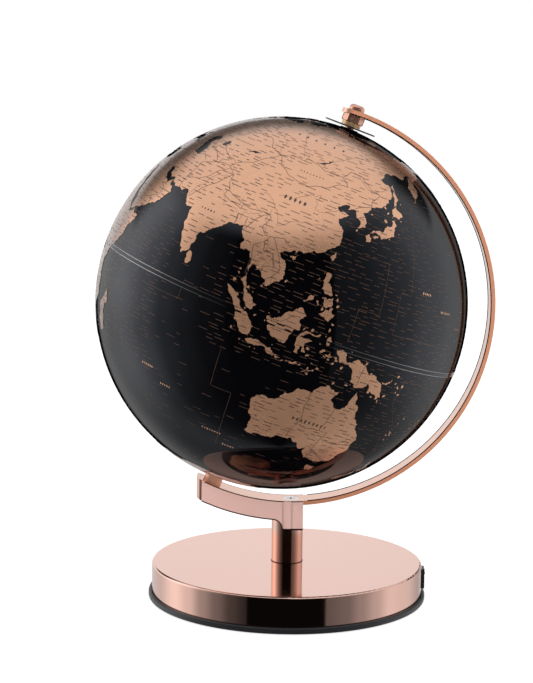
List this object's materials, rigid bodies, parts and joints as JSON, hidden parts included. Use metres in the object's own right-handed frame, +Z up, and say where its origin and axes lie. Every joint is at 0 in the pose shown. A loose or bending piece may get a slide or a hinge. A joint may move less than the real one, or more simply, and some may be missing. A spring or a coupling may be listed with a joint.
{
  "type": "desktop globe on stand",
  "caption": "Illuminated desktop globe on a tilted axis, held by a half meridian and a cast arm on a round weighted base.",
  "frame": {"origin": "on the table, on the stem's axis, at the underside of the base", "axes": "+Z up, +X towards the side the meridian bows out to, +Y away from the viewer of the front"},
  "size_m": [0.2681, 0.2502, 0.3359],
  "materials": {
    "rose_gold_plate": "mirror-polished rose-gold plating on drawn steel",
    "rose_gold_casting": "satin rose-gold plating on a zinc casting",
    "rose_gold_bar": "polished copper-coloured plating on flat bar",
    "rose_gold_fittings": "polished rose-gold plating on turned brass",
    "brass_spacer": "turned and polished",
    "black_tray_plastic": "moulded, semi-gloss",
    "switch_plastic": "moulded, fine satin",
    "foot_rubber": "moulded, matt",
    "zinc_steel": "bright zinc plate",
    "screw_chrome": "chromed",
    "cell_jacket": "printed jacket on a steel can",
    "contact_metal": "nickel-plated spring steel",
    "globe_lacquer": "black sea and copper land under clear lacquer",
    "seam_tape": "printed tape, glossy",
    "nylon": "natural nylon",
    "dial_plastic": "printed sheet, glossy",
    "board_laminate": "white solder resist",
    "lamp_resin": "phosphor resin",
    "frosted_plastic": "frosted",
    "cable_pvc": "extruded PVC"
  },
  "bodies": {
    "stand": {"base_cover": "rose_gold_plate", "base_tray": "black_tray_plastic", "rubber_feet": "foot_rubber", "centre_plug": "foot_rubber", "ballast_plate": "zinc_steel", "base_screws": "zinc_steel", "aa_cells": "cell_jacket", "battery_contacts": "contact_metal", "battery_cover": "black_tray_plastic", "battery_cover_screw": "zinc_steel", "switch_housing": "switch_plastic", "stem_nipple": "zinc_steel", "stem_washer": "zinc_steel", "stem_nut": "zinc_steel", "stem_arm": "rose_gold_casting", "meridian_arc": "rose_gold_bar", "arc_screw": "screw_chrome", "upper_collar": "rose_gold_fittings", "upper_spacer": "brass_spacer", "upper_pivot": "rose_gold_fittings", "upper_clip": "zinc_steel", "lower_axle": "zinc_steel", "lower_collar": "rose_gold_fittings", "led_board": "board_laminate", "led_chips": "lamp_resin", "led_diffuser": "frosted_plastic", "led_cable": "cable_pvc", "switch_cable": "cable_pvc"},
    "globe": {"north_shell": "globe_lacquer", "south_shell": "globe_lacquer", "equator_ring": "nylon", "equator_tape": "seam_tape", "north_bush": "nylon", "south_bush": "nylon"},
    "hour_dial": {"hour_dial": "dial_plastic"},
    "switch": {"switch_rocker": "switch_plastic"}
  },
  "joints": [
    {"name": "globe_spin", "type": "hinge", "parent": "stand", "child": "globe", "pos_m": [-0.0059, 0, 0.202], "axis": [0.3486, 0, 0.9373], "continuous": true},
    {"name": "hour_dial_turn", "type": "hinge", "parent": "stand", "child": "hour_dial", "pos_m": [-0.0059, 0, 0.202], "axis": [0.3486, 0, 0.9373], "continuous": true},
    {"name": "switch_rock", "type": "hinge", "parent": "stand", "child": "switch", "pos_m": [0.0885, 0, 0.01365], "axis": [0, -1, 0], "range_deg": [0, 16]}
  ]
}
